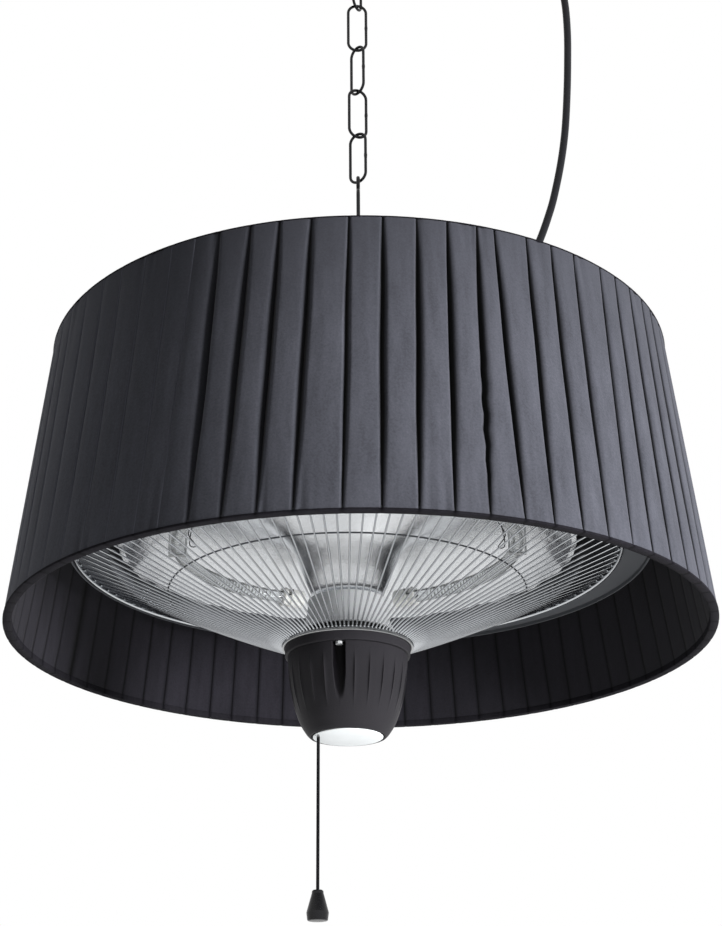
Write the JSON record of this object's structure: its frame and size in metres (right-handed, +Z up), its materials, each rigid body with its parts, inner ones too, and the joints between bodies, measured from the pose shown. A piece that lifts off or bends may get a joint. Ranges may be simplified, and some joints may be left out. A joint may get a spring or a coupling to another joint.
{
  "type": "hanging patio heater",
  "caption": "Electric patio heater that hangs on a chain, with a pleated drum shade, a cone grille over curved quartz tubes and a polished reflector, and a pull cord under its round hub.",
  "frame": {"origin": "the middle of the ceiling plate's top face, where the heater is fixed to the ceiling", "axes": "+Z up along the chain, the picture's viewer stands at -Y, +X is on the viewer's right"},
  "size_m": [0.6, 0.6, 1.0005],
  "materials": {
    "black_steel": "satin black paint",
    "grey_steel": "satin dark grey paint",
    "steel": "plain zinc-plated steel",
    "silver_wire": "satin silver",
    "polished": "polished",
    "fabric": "matte pleated cloth",
    "hub_plastic": "satin",
    "black_plastic": "matte",
    "white_plastic": "matte",
    "gloss_plastic": "glossy",
    "quartz": "clear tube",
    "ceramic": "unglazed ceramic",
    "rubber": "matte",
    "black_cord": "round cord"
  },
  "bodies": {
    "rose": {"ceiling_plate": "black_steel", "rose_cup": "black_steel", "rose_collar": "black_steel", "rose_grommet": "rubber", "rose_terminal": "white_plastic", "ceiling_hook": "black_steel"},
    "link_1": {"chain_link_1": "black_steel"},
    "link_2": {"chain_link_2": "black_steel"},
    "link_3": {"chain_link_3": "black_steel"},
    "link_4": {"chain_link_4": "black_steel"},
    "link_5": {"chain_link_5": "black_steel"},
    "heater": {"eye_rod": "black_steel", "canopy_nut_upper": "steel", "canopy_nut_lower": "steel", "shade_fabric": "fabric", "shade_hem": "fabric", "shade_top_binding": "fabric", "shade_bottom_hoop": "black_steel", "shade_top_ring": "black_steel", "shade_spider": "black_steel", "spider_nut_upper": "black_steel", "spider_nut_lower": "black_steel", "canopy": "grey_steel", "grille": "silver_wire", "grille_rim": "silver_wire", "reflector": "polished", "reflector_sleeve": "polished", "neck_spacer": "black_plastic", "reflector_post_1": "steel", "reflector_post_2": "steel", "reflector_post_3": "steel", "centre_tube": "steel", "hub_nut": "steel", "quartz_tube_left": "quartz", "quartz_tube_right": "quartz", "end_cap_left_back": "ceramic", "end_cap_left_front": "ceramic", "end_cap_right_back": "ceramic", "end_cap_right_front": "ceramic", "element_clip_left": "steel", "element_clip_right": "steel", "hub_collar": "hub_plastic", "hub_pot": "hub_plastic", "hub_disc": "white_plastic", "cord_bush": "black_plastic", "hub_screw_1": "steel", "hub_screw_2": "steel", "hub_screw_3": "steel", "switch_body": "black_plastic", "lever_pin": "steel", "junction_box": "black_plastic", "junction_lid": "black_plastic", "cable_gland": "black_plastic", "gland_cap": "black_plastic", "strain_relief": "rubber", "power_cable": "rubber"},
    "lever": {"switch_lever": "white_plastic"},
    "puller": {"pull_rod": "steel"},
    "cord": {"pull_cord": "black_cord", "pull_knob": "gloss_plastic"}
  },
  "joints": [
    {"name": "link_1_swing", "type": "hinge", "parent": "rose", "child": "link_1", "pos_m": [0, 0, -0.0552], "axis": [0.866, -0.5, 0], "range_deg": [-8, 8], "deforming": ["power_cable"]},
    {"name": "link_2_swing", "type": "hinge", "parent": "link_1", "child": "link_2", "pos_m": [0, 0, -0.1055], "axis": [0.4384, 0.8988, 0], "range_deg": [-8, 8], "deforming": ["power_cable"]},
    {"name": "link_3_swing", "type": "hinge", "parent": "link_2", "child": "link_3", "pos_m": [0, 0, -0.1564], "axis": [0.9976, 0.0698, 0], "range_deg": [-8, 8], "deforming": ["power_cable"]},
    {"name": "link_4_swing", "type": "hinge", "parent": "link_3", "child": "link_4", "pos_m": [0, 0, -0.2073], "axis": [0.6691, -0.7431, 0], "range_deg": [-8, 8], "deforming": ["power_cable"]},
    {"name": "link_5_swing", "type": "hinge", "parent": "link_4", "child": "link_5", "pos_m": [0, 0, -0.2582], "axis": [0.9272, 0.3746, 0], "range_deg": [-8, 8], "deforming": ["power_cable"]},
    {"name": "heater_swing", "type": "hinge", "parent": "link_5", "child": "heater", "pos_m": [0, 0, -0.3091], "axis": [0.829, -0.5592, 0], "range_deg": [-10, 10], "deforming": ["power_cable"]},
    {"name": "pull_slide", "type": "slide", "parent": "heater", "child": "puller", "axis": [0, 0, -1], "range_m": [0, 0.01], "stiffness_N_per_m": 200, "springref_m": -0.01},
    {"name": "lever_turn", "type": "hinge", "parent": "heater", "child": "lever", "pos_m": [-0.0233, -0.01, -0.80866], "axis": [0, -1, 0], "range_deg": [0, 35]},
    {"name": "cord_swing", "type": "hinge", "parent": "puller", "child": "cord", "pos_m": [-0.0358, -0.01, -0.85166], "axis": [0, 1, 0], "range_deg": [-25, 25]}
  ],
  "couplings": [
    {"joint": "lever_turn", "follows": "pull_slide", "rad_per_m": 60}
  ]
}
